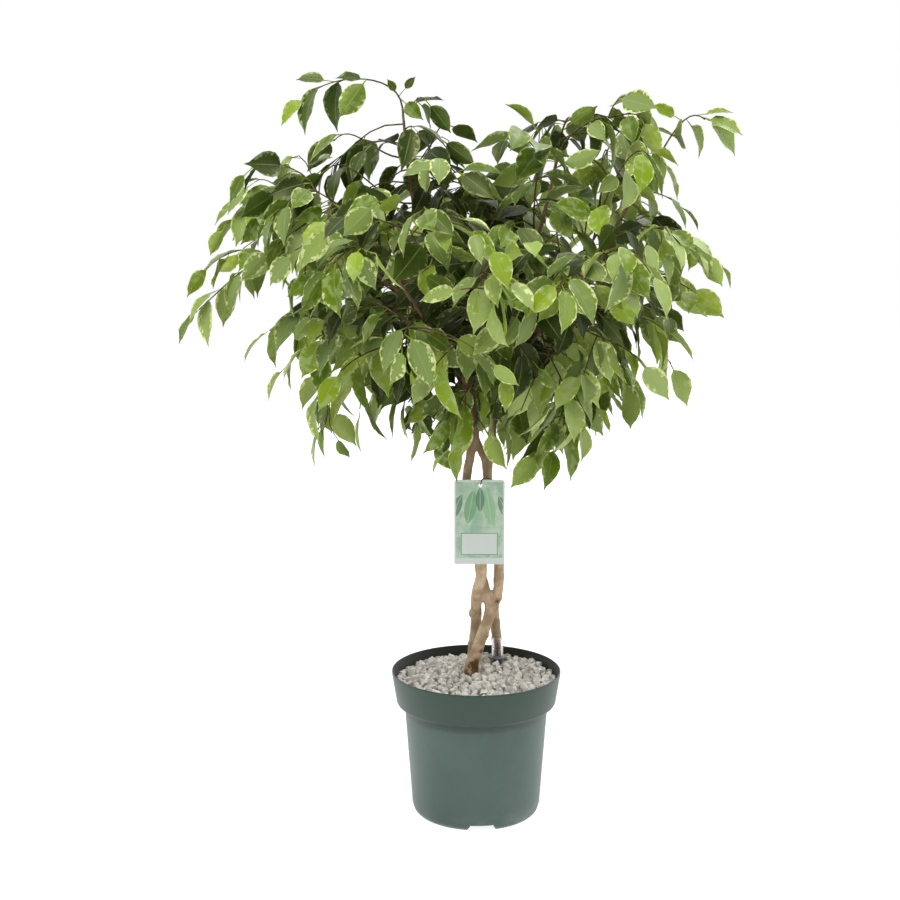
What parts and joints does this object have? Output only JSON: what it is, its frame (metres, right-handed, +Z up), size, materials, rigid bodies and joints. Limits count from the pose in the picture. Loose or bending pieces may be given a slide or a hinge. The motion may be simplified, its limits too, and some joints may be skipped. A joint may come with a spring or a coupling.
{
  "type": "potted weeping fig",
  "caption": "Young variegated weeping fig with a plaited trunk and drooping leafy shoots, in a tapered nursery pot with a pumice top dressing, a water gauge and a blank hang tag.",
  "frame": {"origin": "bottom centre of the part's box, on the surface that the pot stands on", "axes": "+Z up, -Y the front with the hang tag, +X right seen from the front"},
  "size_m": [0.748, 0.6404, 1.029],
  "materials": {
    "pot_plastic": "satin",
    "potting_mix": "matte",
    "pumice": "matte",
    "bark": "matte",
    "leaf": "satin",
    "tag_card": "satin",
    "tie_black": "satin",
    "gauge_grey": "satin",
    "gauge_clear": "clear gloss",
    "gauge_float": "satin"
  },
  "bodies": {
    "root": {"pot": "pot_plastic", "potting_mix": "potting_mix", "top_dressing": "pumice", "trunk": "bark", "hang_tag": "tag_card", "tag_tie": "tie_black", "gauge_tube": "gauge_grey", "gauge_dome": "gauge_clear", "gauge_float": "gauge_float", "leafy_stem_01": "leaf", "leafy_stem_02": "leaf", "leafy_stem_03": "leaf", "leafy_stem_04": "leaf", "leafy_stem_05": "leaf", "leafy_stem_06": "leaf", "leafy_stem_07": "leaf", "leafy_stem_08": "leaf", "leafy_stem_09": "leaf", "leafy_stem_10": "leaf", "leafy_stem_11": "leaf", "leafy_stem_12": "leaf", "leafy_stem_13": "leaf", "leafy_stem_14": "leaf", "leafy_stem_15": "leaf", "leafy_stem_16": "leaf", "leafy_stem_17": "leaf", "leafy_stem_18": "leaf", "leafy_stem_19": "leaf", "leafy_stem_20": "leaf", "leafy_stem_21": "leaf", "leafy_stem_22": "leaf", "leafy_stem_23": "leaf", "leafy_stem_24": "leaf", "leafy_stem_25": "leaf", "leafy_stem_26": "leaf", "leafy_stem_27": "leaf", "leafy_stem_28": "leaf", "leafy_stem_29": "leaf", "leafy_stem_30": "leaf", "leafy_stem_31": "leaf", "leafy_stem_32": "leaf", "leafy_stem_33": "leaf", "leafy_stem_34": "leaf", "leafy_stem_35": "leaf", "leafy_stem_36": "leaf", "leafy_stem_37": "leaf", "leafy_stem_38": "leaf", "leafy_stem_39": "leaf", "leafy_stem_40": "leaf", "leafy_stem_41": "leaf", "leafy_stem_42": "leaf", "leafy_stem_43": "leaf", "leafy_stem_44": "leaf", "leafy_stem_45": "leaf", "leafy_stem_46": "leaf", "leafy_stem_47": "leaf", "leafy_stem_48": "leaf", "leafy_stem_49": "leaf", "leafy_stem_50": "leaf"}
  },
  "joints": []
}
